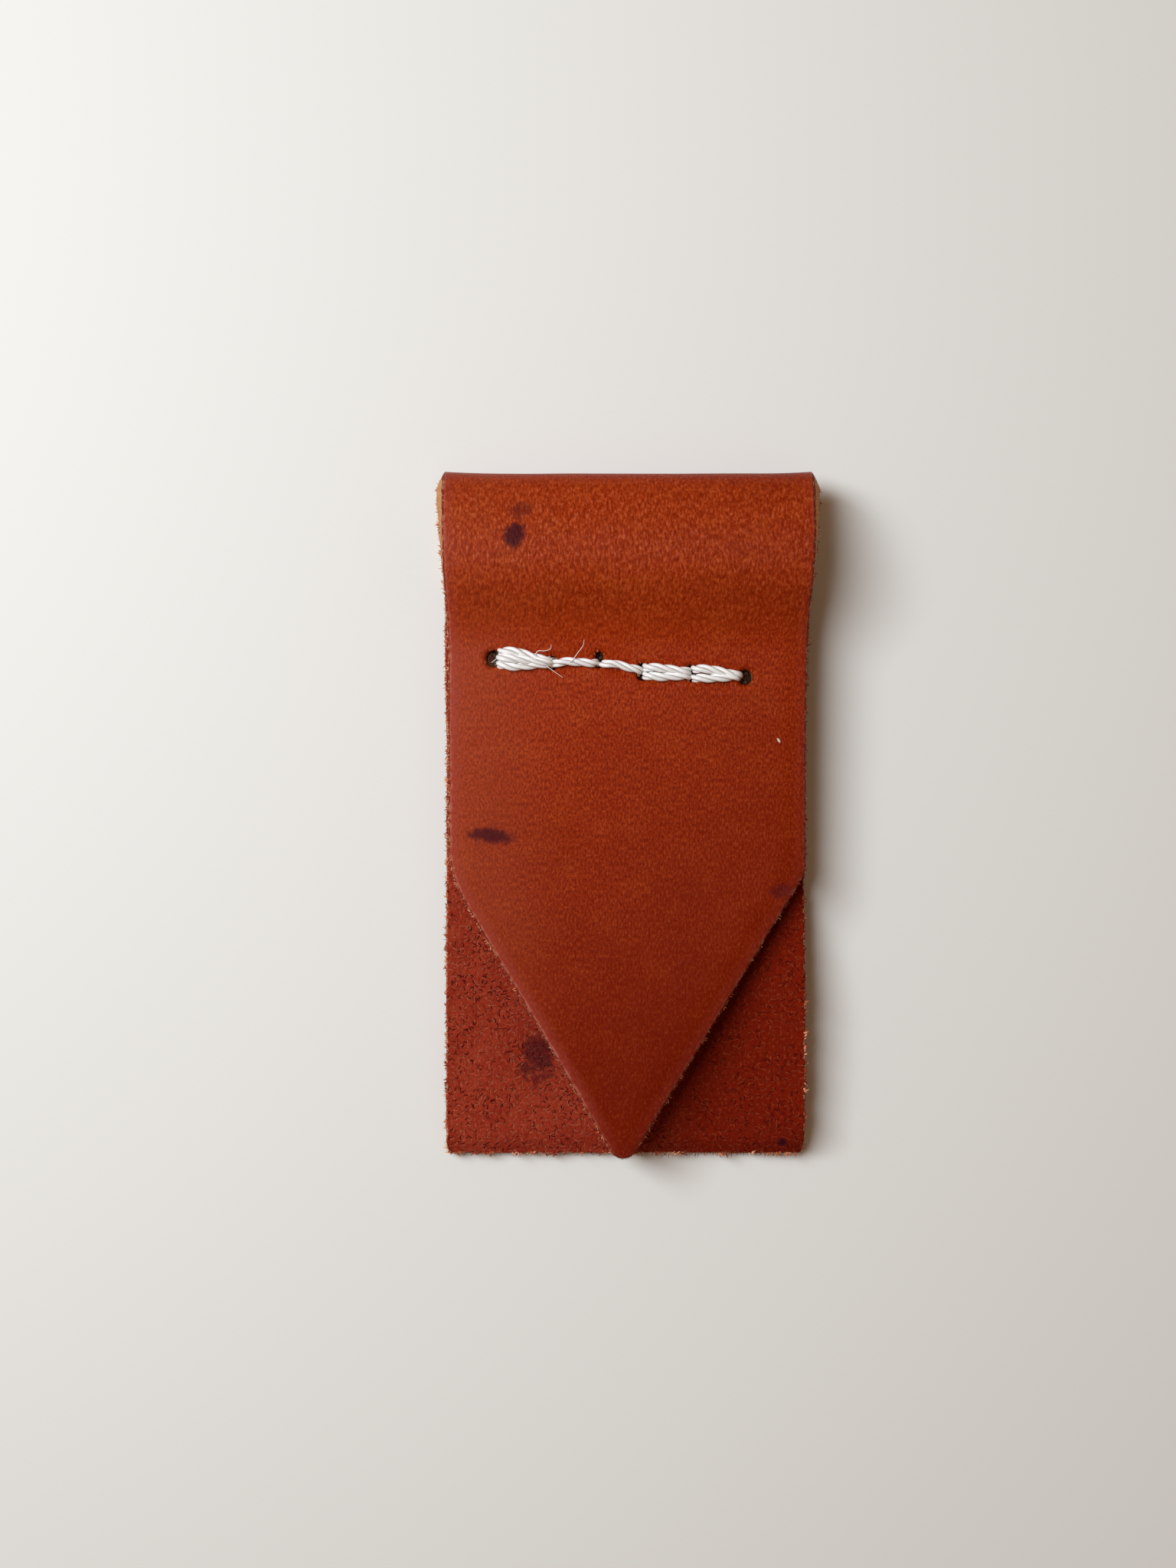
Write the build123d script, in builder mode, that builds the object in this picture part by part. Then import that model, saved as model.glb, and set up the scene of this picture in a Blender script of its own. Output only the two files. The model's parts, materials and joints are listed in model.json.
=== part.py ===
"""Leather loop clip: one strip of leather folded over, grain side out, and sewn across
through both plies just below the fold. The stitching closes a tunnel at the fold. Below
it the strip runs on as two free tails, a pointed front flap and a square back panel, that
stand a little apart and grip what is pushed between them.

The clip lies on its back, on the fold and on the end of the back panel. X runs across the
strip, the fold is at +Y, the point of the flap at -Y, and Z is up. The origin is under the
middle of its box. Millimetres.
"""

from build123d import *
import os

os.makedirs("parts", exist_ok=True)

# The strip
leather = 1.6  # thickness
half_width = 14.7  # of the two tails
loop_half_width = 15.15  # bent leather spreads sideways at the fold
fold_y = 28.1  # outermost line of the fold
panel_end_y = -28.0  # square end of the back panel, grain side

# The tunnel at the fold, seen from the side
loop_height = 8.4
shoulder_y = 19.6  # where the plies stop spreading from the seam
shoulder_radius = 5.5
brow_y = 23.6  # where they start to close again towards the fold
brow_radius = 9.4
fold_height = 6.15  # where the closing ply would meet the outermost line of the fold
fold_radius = 3.1
foot_y = 14.9  # where the plies leave the seam
foot_radius = 6.0

# The sewn band, where the plies lie flat on each other, half way up the tunnel
ply_gap = 0.1  # the two flesh sides meet without pressing into each other
seam_top = loop_height / 2 + leather + ply_gap / 2
seam_bottom = seam_top - 2 * leather - ply_gap
band_start_y = 10.4
band_radius = 20.0
flap_hinge_y = 9.6
panel_hinge_y = 7.0

# The front flap: sinks a little towards the back panel, then bows away from it again
flap_start_y = 8.0
bow_y = -4.0
bow_z = 5.5
point_z = 5.9
flap_start_radius = 20.0
bow_radius = 150.0
corner_y = -4.6  # where the straight sides turn in to the point
point_y = -29.0  # where the two cut edges would meet
left_corner_radius = 9.0
right_corner_radius = 3.0
tip_radius = 1.2
panel_corner_radius = 0.5

# The stitching: six slots, sewn by eye, so the row slants and wanders
slot_x = [-10.6, -6.0, -2.2, 1.35, 5.3, 9.6]
slot_wander = [0.0, -0.1, 0.5, -0.3, -0.1, 0.0]
seam_y = 12.15  # of the row at the middle of the strip
seam_slope = -0.0736
slot_length = 1.9
slot_width = 0.9
thread = 0.8
strand_step = 0.7  # distance between strands that share a stitch
front_strands = [3, 1, 1, 2, 2]
back_strands = [2, 1, 1, 2, 2]
widest_at = [0.3, 0.5, 0.5, 0.5, 0.5]  # how far along each stitch is widest
front_thread_height = 0.75
back_thread_height = 0.6
thread_rounding = 0.2


def slot_centre(index):
    """Middle of one slot, in plan."""
    x = slot_x[index]
    return (x, seam_y + seam_slope * x + slot_wander[index])


def panel_height(y):
    """Height of the back panel's grain side, which runs straight down to its end."""
    return seam_bottom * (y - panel_end_y) / (band_start_y - panel_end_y)


def stitch_outline(index, strands):
    """Circles whose hull is the outline of one stitch: its strands spread between slots."""
    start = Vector(*slot_centre(index))
    end = Vector(*slot_centre(index + 1))
    middle = start + (end - start) * widest_at[index]
    into_slot = (end - start).normalized() * (slot_width / 2)
    with Locations(start + into_slot, end - into_slot):
        Circle(thread / 2)
    with Locations(middle):
        Circle(thread / 2 + strand_step / 2 * (strands - 1))
    make_hull()


def bent_line(corners, radii):
    """A line through corners with an arc at each bend, or straight where there is none."""
    if radii:
        return FilletPolyline(*corners, radius=radii)
    return Line(*corners)


def strip_from_the_side(grain_corners, radii):
    """Outline of a stretch of the strip, seen from the side.

    The corners are those of its grain side, with a radius for each bend. The flesh side
    runs one thickness to the right of them: tighter inside a bend, wider round one.
    """
    corners = [Vector(*corner) for corner in grain_corners]
    runs = [(b - a).normalized() for a, b in zip(corners, corners[1:])]
    inward = [Vector(run.Y, -run.X) * leather for run in runs]
    flesh_corners = [corners[0] + inward[0]]
    flesh_radii = []
    for before, after, corner, radius in zip(runs, runs[1:], corners[1:], radii):
        bisector = Vector(before.Y + after.Y, -before.X - after.X)
        flesh_corners.append(corner + bisector * (leather / (1 + before.dot(after))))
        turns_right = before.cross(after).Z < 0
        flesh_radii.append(radius - leather if turns_right else radius + leather)
    flesh_corners.append(corners[-1] + inward[-1])
    with BuildLine() as outline:
        grain = bent_line(corners, radii)
        flesh = bent_line(flesh_corners, flesh_radii)
        Line(grain @ 0, flesh @ 0)
        Line(grain @ 1, flesh @ 1)
    make_face(outline.edges())


def write(part, name):
    """Labels one finished piece and writes its STEP file."""
    part.label = name
    export_step(part, f"parts/{name}.step")


# Fold loop: the sewn band of both plies, and the tunnel between them
with BuildPart() as fold_loop:
    with BuildSketch(Plane.YZ):
        strip_from_the_side(
            [
                (flap_hinge_y, seam_top),
                (foot_y, seam_top),
                (shoulder_y, loop_height),
                (brow_y, loop_height),
                (fold_y, fold_height),
                (fold_y, loop_height - fold_height),
                (brow_y, 0),
                (shoulder_y, 0),
                (foot_y, seam_bottom),
                (band_start_y, seam_bottom),
                (panel_hinge_y, panel_height(panel_hinge_y)),
            ],
            [
                foot_radius,
                shoulder_radius,
                brow_radius,
                fold_radius,
                fold_radius,
                brow_radius,
                shoulder_radius,
                foot_radius,
                band_radius,
            ],
        )
    extrude(amount=loop_half_width, both=True)
    with BuildSketch():
        with BuildLine():
            Line((0, panel_hinge_y), (half_width, panel_hinge_y))
            side = Line((half_width, panel_hinge_y), (half_width, foot_y))
            spread = TangentArc(side @ 1, (loop_half_width, shoulder_y), tangent=side % 1)
            Line(spread @ 1, (loop_half_width, fold_y))
            Line((loop_half_width, fold_y), (0, fold_y))
            mirror(about=Plane.YZ)
        make_face()
    extrude(amount=loop_height, mode=Mode.INTERSECT)
    with BuildSketch():
        for index in range(len(slot_x)):
            with Locations(slot_centre(index)):
                SlotOverall(slot_length, slot_width, rotation=90)
    extrude(amount=seam_top, mode=Mode.SUBTRACT)
write(fold_loop.part, "fold_loop")

# Front flap
with BuildPart() as front_flap:
    with BuildSketch(Plane.YZ):
        strip_from_the_side(
            [
                (point_y, point_z),
                (bow_y, bow_z),
                (flap_start_y, seam_top),
                (flap_hinge_y, seam_top),
            ],
            [bow_radius, flap_start_radius],
        )
    extrude(amount=half_width, both=True)
    with BuildSketch():
        with BuildLine():
            FilletPolyline(
                (half_width, flap_hinge_y),
                (half_width, corner_y),
                (0, point_y),
                (-half_width, corner_y),
                (-half_width, flap_hinge_y),
                radius=[0, right_corner_radius, tip_radius, left_corner_radius, 0],
                close=True,
            )
        make_face()
    extrude(amount=loop_height, mode=Mode.INTERSECT)
write(front_flap.part, "front_flap")

# Back panel: flesh side up, as long as the flap
with BuildPart() as back_panel:
    with BuildSketch(Plane.YZ):
        strip_from_the_side(
            [(panel_hinge_y, panel_height(panel_hinge_y)), (panel_end_y, 0)],
            [],
        )
    extrude(amount=half_width, both=True)
    end = back_panel.faces().sort_by(Axis.Y)[0]
    corners = end.edges().sort_by(Axis.X)
    fillet([corners[0], corners[-1]], radius=panel_corner_radius)
write(back_panel.part, "back_panel")

# Stitches on the grain side of the front
for index, strands in enumerate(front_strands):
    with BuildPart() as front_stitch:
        with BuildSketch(Plane.XY.offset(seam_top)):
            stitch_outline(index, strands)
        extrude(amount=front_thread_height)
        crown = front_stitch.faces().sort_by(Axis.Z)[-1]
        fillet(crown.edges(), radius=thread_rounding)
    write(front_stitch.part, f"front_stitch_{index + 1}")

# Stitches under the back ply
for index, strands in enumerate(back_strands):
    with BuildPart() as back_stitch:
        with BuildSketch(Plane.XY.offset(seam_bottom)):
            stitch_outline(index, strands)
        extrude(amount=-back_thread_height)
        belly = back_stitch.faces().sort_by(Axis.Z)[0]
        fillet(belly.edges(), radius=thread_rounding)
    write(back_stitch.part, f"back_stitch_{index + 1}")

# The thread's passes through each slot, joining the stitches above and below
for index in range(len(slot_x)):
    with BuildPart() as slot_thread:
        with BuildSketch(Plane.XY.offset(seam_bottom)):
            with Locations(slot_centre(index)):
                SlotOverall(slot_length, slot_width, rotation=90)
        extrude(amount=seam_top - seam_bottom)
    write(slot_thread.part, f"slot_thread_{index + 1}")
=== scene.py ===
"""The looks of the leather loop clip.

One strip of leather is drawn as a flat pattern, cut along its real outline and pierced by
its slots, and then laid along the strip's path as seen from the side. The path and its
sizes are those of the CAD model. Lengths are in millimetres until a mesh is made.
"""

import json
import math

import bpy
import numpy as np
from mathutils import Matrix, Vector, noise
from mathutils.geometry import delaunay_2d_cdt
from mathutils.kdtree import KDTree


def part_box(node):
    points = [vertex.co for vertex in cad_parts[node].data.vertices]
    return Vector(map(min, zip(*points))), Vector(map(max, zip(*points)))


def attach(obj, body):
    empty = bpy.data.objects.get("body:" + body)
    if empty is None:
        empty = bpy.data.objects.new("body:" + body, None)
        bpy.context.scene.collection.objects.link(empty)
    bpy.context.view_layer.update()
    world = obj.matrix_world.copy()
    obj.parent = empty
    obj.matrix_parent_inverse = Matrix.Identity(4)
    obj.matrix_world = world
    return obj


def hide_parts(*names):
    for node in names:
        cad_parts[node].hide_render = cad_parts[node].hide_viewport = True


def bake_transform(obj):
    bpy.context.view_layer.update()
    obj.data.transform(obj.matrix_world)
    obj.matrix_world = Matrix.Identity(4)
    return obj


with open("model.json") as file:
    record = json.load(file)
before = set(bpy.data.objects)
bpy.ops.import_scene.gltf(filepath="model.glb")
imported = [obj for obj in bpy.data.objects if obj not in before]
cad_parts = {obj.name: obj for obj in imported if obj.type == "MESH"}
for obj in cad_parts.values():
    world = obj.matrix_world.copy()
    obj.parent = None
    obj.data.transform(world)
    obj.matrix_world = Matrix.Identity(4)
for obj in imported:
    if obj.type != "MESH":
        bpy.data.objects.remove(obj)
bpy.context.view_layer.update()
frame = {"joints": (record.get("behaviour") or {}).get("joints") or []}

MM = 0.001
rng = np.random.default_rng(7)


# ---- sizes from the frame


def node_box(name):
    """Lowest and highest corner of a CAD node, in millimetres."""
    low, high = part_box(name)
    return np.array(low) / MM, np.array(high) / MM


def joint_place(name):
    """A joint's point in the row frame, in millimetres."""
    joint = next(j for j in frame["joints"] if j["name"] == name)
    return np.array(joint["pos_m"]) / MM


PLY_GAP = 0.1
HALF_WIDTH = node_box("back_panel")[1][0]
FOLD_Y = node_box("fold_loop")[1][1]
LOOP_HEIGHT = node_box("fold_loop")[1][2]
SEAM_BOTTOM = node_box("slot_thread_1")[0][2]
FLAP_HINGE_Y, SEAM_TOP = joint_place("flap_lift")[1:]
PANEL_HINGE_Y, PANEL_HINGE_Z = joint_place("panel_flex")[1:]
LEATHER = (SEAM_TOP - SEAM_BOTTOM - PLY_GAP) / 2
SLOTS = [sum(node_box(f"slot_thread_{n}")) / 2 for n in range(1, 7)]

# The strip's path from the side, with the CAD model's corners and radii
PANEL_END_Y = -28.0
SHOULDER_Y = 19.6
SHOULDER_RADIUS = 5.5
BROW_Y = 23.6
BROW_RADIUS = 9.4
FOLD_HEIGHT = 6.15
FOLD_RADIUS = 3.1
FOOT_Y = 14.9
FOOT_RADIUS = 6.0
BAND_START_Y = 10.4
BAND_RADIUS = 20.0
FLAP_START_Y = 8.0
FLAP_START_RADIUS = 20.0
BOW_Y, BOW_Z = -4.0, 5.5
BOW_RADIUS = 150.0
POINT_Y, POINT_Z = -29.0, 5.9


# ---- camera, light and table

CAMERA_PLACE = (-3.1, 2.65, 200.0)
TABLE_SPAN = 131.3  # of the table, along the picture's long side
SENSOR = 36.0
NEAREST = 0.01  # in metres, what the camera still sees
WINDOW_PLACE = (-148, 74, 262)
WINDOW_SIZE = (102, 222)  # its width, which stays level, and its height
WINDOW_COLOUR = (0.865, 0.94, 1.0)
WINDOW_POWER = 1.0
ROOM_COLOUR = (1.0, 0.64, 0.38)
ROOM_STRENGTH = 0.2


def make_camera():
    camera = bpy.data.cameras.new("camera")
    camera.sensor_width = SENSOR
    camera.lens = SENSOR * CAMERA_PLACE[2] / TABLE_SPAN
    camera.clip_start = NEAREST
    holder = bpy.data.objects.new("camera", camera)
    holder.location = Vector(CAMERA_PLACE) * MM
    bpy.context.collection.objects.link(holder)
    bpy.context.scene.camera = holder


def make_window():
    """The one lamp, an area light turned towards the clip."""
    light = bpy.data.lights.new("window", "AREA")
    light.shape = "RECTANGLE"
    light.size, light.size_y = (side * MM for side in WINDOW_SIZE)
    light.energy = WINDOW_POWER
    light.color = WINDOW_COLOUR
    holder = bpy.data.objects.new("window", light)
    holder.location = Vector(WINDOW_PLACE) * MM
    holder.rotation_euler = (-Vector(WINDOW_PLACE)).to_track_quat("-Z", "Y").to_euler()
    bpy.context.collection.objects.link(holder)


def make_room():
    """Even light from all round."""
    world = bpy.data.worlds.new("room")
    world.use_nodes = True
    background = world.node_tree.nodes["Background"]
    background.inputs["Color"].default_value = (*ROOM_COLOUR, 1)
    background.inputs["Strength"].default_value = ROOM_STRENGTH
    bpy.context.scene.world = world


# ---- material helpers

STROKE_BEND = 0.8  # how much a stroke of the flesh side bends


class Nodes:
    """Short names for the shader nodes of one material."""

    def __init__(self, name):
        self.material = bpy.data.materials.new(name)
        self.material.use_nodes = True
        self.tree = self.material.node_tree
        self.shader = self.tree.nodes["Principled BSDF"]

    def join(self, source, target):
        """Feeds a socket, number, vector or colour into a socket."""
        if isinstance(source, (int, float)):
            target.default_value = source
        elif isinstance(source, tuple):
            target.default_value = (*source, 1)[: len(target.default_value)]
        else:
            self.tree.links.new(source, target)

    def add(self, kind, inputs, **settings):
        """A new node with its settings and with its inputs fed."""
        node = self.tree.nodes.new("ShaderNode" + kind)
        for name, value in settings.items():
            setattr(node, name, value)
        for name, source in inputs.items():
            self.join(source, node.inputs[name])
        return node

    def attribute(self, name, output="Vector"):
        return self.add("Attribute", {}, attribute_name=name).outputs[output]

    def maths(self, operation, a, b=0.0, clamp=False):
        return self.add("Math", {0: a, 1: b}, operation=operation, use_clamp=clamp).outputs[0]

    def times(self, a, b):
        return self.maths("MULTIPLY", a, b)

    def plus(self, a, b, clamp=False):
        return self.maths("ADD", a, b, clamp)

    def stretched(self, vector, scale, shift=(0, 0, 0)):
        inputs = {"Vector": vector, "Scale": scale, "Location": shift}
        return self.add("Mapping", inputs).outputs[0]

    def noise(self, vector, scale, detail, roughness, distortion=0.0):
        inputs = {"Vector": vector, "Scale": scale, "Detail": detail}
        inputs |= {"Roughness": roughness, "Distortion": distortion}
        return self.add("TexNoise", inputs).outputs["Fac"]

    def parts(self, vector):
        """A vector's or colour's three numbers."""
        return self.add("SeparateXYZ", {0: vector}).outputs[:]

    def warped(self, vector, scale, amount):
        """The vector, pushed about by a noise of its own."""
        push = self.add("TexNoise", {"Vector": vector, "Scale": scale}).outputs["Color"]
        inputs = {0: push, 1: (amount, amount, 0), 2: vector}
        return self.add("VectorMath", inputs, operation="MULTIPLY_ADD").outputs[0]

    def cells(self, vector, scale):
        """Rounded distance from the middle of the nearest cell of a random pattern."""
        node = self.add("TexVoronoi", {"Vector": vector, "Scale": scale}, feature="SMOOTH_F1")
        return node.outputs["Distance"]

    def ramp(self, value, low, high, to_low=0.0, to_high=1.0, smooth=True):
        """Maps low..high of a value to to_low..to_high, held outside them."""
        inputs = {"Value": value, "From Min": low, "From Max": high}
        inputs |= {"To Min": to_low, "To Max": to_high}
        easing = "SMOOTHSTEP" if smooth else "LINEAR"
        return self.add("MapRange", inputs, interpolation_type=easing).outputs["Result"]

    def mix(self, share, first, second):
        inputs = {"Factor": share, "A": first, "B": second}
        return self.add("Mix", inputs, data_type="RGBA").outputs["Result"]

    def laid(self, colour, *layers):
        """A colour with others laid over it, each given as its share and itself."""
        for share, other in layers:
            colour = self.mix(share, colour, other)
        return colour

    def bump(self, height, depth):
        """Bump of a height from 0 to 1 that stands for a depth in millimetres."""
        inputs = {"Strength": 1.0, "Distance": depth * MM, "Height": height}
        return self.add("Bump", inputs).outputs["Normal"]

    def finish(self, colour, roughness, specular, normal=None):
        """The material, with its shader's inputs fed."""
        self.join(colour, self.shader.inputs["Base Color"])
        self.join(roughness, self.shader.inputs["Roughness"])
        self.join(specular, self.shader.inputs["Specular IOR Level"])
        if normal is not None:
            self.join(normal, self.shader.inputs["Normal"])
        return self.material


def spot(nodes, strip, place, size, tilt, ragged=0.6, fineness=1.5):
    """A soft ragged mask, 1 in the middle of an ellipse on the strip and 0 outside it."""
    ellipse = {"Location": (*place, 0), "Rotation": (0, 0, tilt), "Scale": (*size, 1000)}
    local = nodes.add("Mapping", {"Vector": strip, **ellipse}, vector_type="TEXTURE")
    length = nodes.add("VectorMath", {0: local.outputs[0]}, operation="LENGTH")
    wobble = nodes.times(nodes.noise(strip, fineness, 4, 0.7), ragged * 2)
    reach = nodes.plus(length.outputs["Value"], wobble)
    return nodes.ramp(reach, 1.15 + ragged, 0.5 + ragged)


def strokes(nodes, strip, scale, shift, length, width):
    """Short bent strokes in all directions, one in each cell of a random pattern.

    The length and width are half sizes in cells. Some strokes are fainter than others.
    """
    place = nodes.stretched(strip, (scale, scale, 0), shift)
    cell = nodes.add("TexVoronoi", {"Vector": place, "Scale": 1.0}, voronoi_dimensions="2D")
    local = nodes.add("VectorMath", {0: place, 1: cell.outputs["Position"]}, operation="SUBTRACT")
    chance = nodes.parts(cell.outputs["Color"])
    turn = {"Vector": local.outputs[0], "Angle": nodes.times(chance[0], 2 * math.pi)}
    turned = nodes.add("VectorRotate", turn, rotation_type="Z_AXIS")
    along, across, _ = nodes.parts(turned.outputs[0])
    across = nodes.plus(across, nodes.times(nodes.times(along, along), STROKE_BEND))
    mask = nodes.times(
        nodes.ramp(nodes.maths("ABSOLUTE", across), width, width * 0.4),
        nodes.ramp(nodes.maths("ABSOLUTE", along), length, length * 0.6),
    )
    return nodes.times(mask, nodes.ramp(chance[1], 0.1, 0.7, 0.15, 1.0))


# ---- the strip's path


def filleted(corners, radii, step):
    """Points at even steps along straight runs joined by tangent arcs."""
    corners = [np.array(corner, float) for corner in corners]
    points = [corners[0]]
    for before, corner, after, radius in zip(corners, corners[1:], corners[2:], radii):
        back = (before - corner) / np.linalg.norm(before - corner)
        ahead = (after - corner) / np.linalg.norm(after - corner)
        half = math.acos(np.clip(back.dot(ahead), -1, 1)) / 2
        turn = math.pi - 2 * half
        middle = (back + ahead) / np.linalg.norm(back + ahead)
        centre = corner + middle * radius / math.sin(half)
        start = corner + back * radius / math.tan(half) - centre
        end = corner + ahead * radius / math.tan(half) - centre
        for t in np.linspace(0, 1, max(3, int(turn * radius / step))):
            mixed = math.sin((1 - t) * turn) * start + math.sin(t * turn) * end
            points.append(centre + mixed / math.sin(turn))
    points.append(corners[-1])
    return evenly(np.array(points), step)


def evenly(points, step):
    """The same line with its points an even step apart."""
    gaps = np.linalg.norm(np.diff(points, axis=0), axis=1)
    along = np.concatenate([[0], np.cumsum(gaps)])
    wanted = np.linspace(0, along[-1], max(2, int(round(along[-1] / step)) + 1))
    return np.stack([np.interp(wanted, along, points[:, k]) for k in range(points.shape[1])], 1)


def smoothed(values, spread):
    """A Gaussian average along the first axis, spread in points, with its ends kept."""
    reach = int(3 * spread)
    weights = np.exp(-0.5 * (np.arange(-reach, reach + 1) / spread) ** 2)
    weights /= weights.sum()
    first = 2 * values[:1] - values[reach:0:-1]
    last = 2 * values[-1:] - values[-2 : -reach - 2 : -1]
    padded = np.concatenate([first, values, last])
    columns = padded.reshape(len(padded), -1).T
    result = np.stack([np.convolve(column, weights, "valid") for column in columns], 1)
    return result.reshape(values.shape)


STEP = 0.05
# The path's corners and the radius of each bend, from the flap to the back panel. It starts
# beyond the flap's point and ends beyond the panel's end.
BENDS = [
    ((BOW_Y, BOW_Z), BOW_RADIUS),
    ((FLAP_START_Y, SEAM_TOP), FLAP_START_RADIUS),
    ((FOOT_Y, SEAM_TOP), FOOT_RADIUS),
    ((SHOULDER_Y, LOOP_HEIGHT), SHOULDER_RADIUS),
    ((BROW_Y, LOOP_HEIGHT), BROW_RADIUS),
    ((FOLD_Y, FOLD_HEIGHT), FOLD_RADIUS),
    ((FOLD_Y, LOOP_HEIGHT - FOLD_HEIGHT), FOLD_RADIUS),
    ((BROW_Y, 0), BROW_RADIUS),
    ((SHOULDER_Y, 0), SHOULDER_RADIUS),
    ((FOOT_Y, SEAM_BOTTOM), FOOT_RADIUS),
    ((BAND_START_Y, SEAM_BOTTOM), BAND_RADIUS),
]
PATH_START = (POINT_Y - 1, POINT_Z + 0.02)
PATH_END = (PANEL_END_Y - 0.5, 0)
PATH_SMOOTHING = 0.4

corners, radii = zip(*BENDS)
path = smoothed(filleted([PATH_START, *corners, PATH_END], radii, STEP), PATH_SMOOTHING / STEP)
PATH_S = np.arange(len(path)) * STEP
heading = np.gradient(path, axis=0)
heading /= np.linalg.norm(heading, axis=1)[:, None]
APEX = int(path[:, 0].argmax())


def s_on_front(y):
    """Where along the strip the front ply passes over y."""
    return np.interp(y, path[:APEX, 0], PATH_S[:APEX])


def s_on_back(y):
    """Where along the strip the back ply passes under y."""
    return np.interp(-np.asarray(y), -path[APEX:, 0], PATH_S[APEX:])


S_APEX = PATH_S[APEX]
S_FLAP = s_on_front(FLAP_HINGE_Y)
S_PANEL = s_on_back(PANEL_HINGE_Y)
S_END = s_on_back(PANEL_END_Y)


# ---- the flat pattern

# Places along the strip, and how far its two cut edges are from the middle there
EDGE_Y = [
    ("front", 9.0),
    ("front", 13.0),
    ("front", 22.0),
    ("back", 21.0),
    ("back", 7.0),
    ("back", -27.0),
]
RIGHT_EDGE = [14.6, 14.7, 15.2, 15.2, 14.65, 14.75]
LEFT_EDGE = [14.4, 14.45, 14.8, 14.9, 14.7, 14.85]
FLAP_POINT = (-0.23, POINT_Y)
FLAP_RIGHT_Y, FLAP_LEFT_Y = -4.58, -4.81
FLAP_RADII = [9.0, 1.2, 1.7]  # left shoulder, point and right shoulder
PANEL_CORNER = 0.45
OUTLINE_STEP = 0.25
EDGE_EASING = 8  # in steps
RINGS = [0.05, 0.12, 0.22, 0.36, 0.54, 0.76]  # distances of rows of points from the cut edge
SLOT_STEP = 0.16
SLOT_RINGS = [0.08, 0.18, 0.32, 0.5]  # rows of points round a slot
MESH_STEP = 0.34
EDGE_CLEAR = 0.16  # between the innermost ring and the even points
SLOT_CLEAR = 0.14
ROW_END = 0.9  # the row of points along a bend stops this far from the cut edge

# How a hand-cut edge strays: turns to the millimetre, reach and seed of each part
WANDERS = [(0.12, 0.09, 0), (0.9, 0.04, 4), (2.1, 0.06, 8)]

# What stays open of each slot round the thread: width, length, and its shift in x and y
OPENINGS = [
    (1.15, 1.35, -0.2, -0.1),
    (0.7, 1.1, 0.0, 0.0),
    (0.62, 1.3, 0.02, -0.06),
    (0.9, 1.4, 0.0, 0.02),
    (0.75, 1.3, 0.0, 0.0),
    (1.15, 1.2, 0.12, -0.1),
]


def edge_place(s, widths):
    """Half width of the strip along it, eased between the places where it is given."""
    known = [s_on_front(y) if side == "front" else s_on_back(y) for side, y in EDGE_Y]
    grid = np.arange(0, PATH_S[-1], OUTLINE_STEP)
    return np.interp(s, grid, smoothed(np.interp(grid, known, widths), EDGE_EASING))


def wander(s, seed):
    """How far a hand-cut edge strays from its line."""
    return sum(
        reach * np.array([noise.noise(Vector((value * rate, seed, layer))) for value in s])
        for rate, reach, layer in WANDERS
    )


def strip_outline():
    """The strip's cut edge as a closed line in pattern coordinates (x, s)."""
    left_x = -edge_place(S_FLAP, LEFT_EDGE)
    right_x = edge_place(S_FLAP, RIGHT_EDGE)
    point = filleted(
        [
            (left_x, FLAP_HINGE_Y),
            (left_x, FLAP_LEFT_Y),
            FLAP_POINT,
            (right_x, FLAP_RIGHT_Y),
            (right_x, FLAP_HINGE_Y),
        ],
        FLAP_RADII,
        OUTLINE_STEP,
    )
    point[:, 1] = s_on_front(point[:, 1])
    middle = np.arange(S_FLAP, S_PANEL, OUTLINE_STEP)[1:]
    tail = np.linspace(S_PANEL, S_END - 2, int((S_END - 2 - S_PANEL) / OUTLINE_STEP))
    sides = np.concatenate([middle, tail])
    right = np.stack([edge_place(sides, RIGHT_EDGE), sides], 1)
    left = np.stack([-edge_place(sides, LEFT_EDGE), sides], 1)
    end = filleted(
        [right[-1], (right[-1][0], S_END), (left[-1][0], S_END), left[-1]],
        [PANEL_CORNER, PANEL_CORNER],
        OUTLINE_STEP,
    )
    return np.concatenate([point, right[:-1], end, left[-2::-1]])


def outward(line):
    """Outward normals of a closed line that runs anticlockwise in (x, s)."""
    along = np.roll(line, -1, axis=0) - np.roll(line, 1, axis=0)
    along /= np.linalg.norm(along, axis=1)[:, None]
    return np.stack([along[:, 1], -along[:, 0]], 1)


def slot_line(slot, grow, step):
    """A slot's outline, grown outwards, as a closed anticlockwise line."""
    centre, width, length = slot
    radius = width / 2 + grow
    straight = (length - width) / 2
    count = max(10, int((2 * math.pi * radius + 4 * straight) / step) // 2 * 2)
    angles = np.linspace(0, 2 * math.pi, count, endpoint=False)
    shift = np.where(np.sin(angles) >= 0, straight, -straight)
    return centre + np.stack([radius * np.cos(angles), radius * np.sin(angles) + shift], 1)


def slot_distance(points, slot):
    """Distance outside a slot's outline, negative inside."""
    centre, width, length = slot
    across = points[:, 0] - centre[0]
    beyond = np.maximum(np.abs(points[:, 1] - centre[1]) - (length - width) / 2, 0)
    return np.hypot(across, beyond) - width / 2


def tree_of(line):
    """A search tree of the points of a flat line."""
    tree = KDTree(len(line))
    for index, (x, s) in enumerate(line.tolist()):
        tree.insert((x, s, 0), index)
    tree.balance()
    return tree


def line_distance(points, tree):
    """Distance of each point from the nearest point of a finely divided line."""
    return np.array([tree.find((x, s, 0))[2] for x, s in points.tolist()])


STITCH_HALF = [0.9, 0.36, 0.36, 0.6, 0.62]  # half the width of each stitch

SLOTS_ON_STRIP = []
for s_at in (s_on_front, s_on_back):
    for place, (width, length, shift_x, shift_y) in zip(SLOTS, OPENINGS):
        centre = np.array([place[0] + shift_x, s_at(place[1] + shift_y)])
        SLOTS_ON_STRIP.append((centre, width, length))


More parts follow.
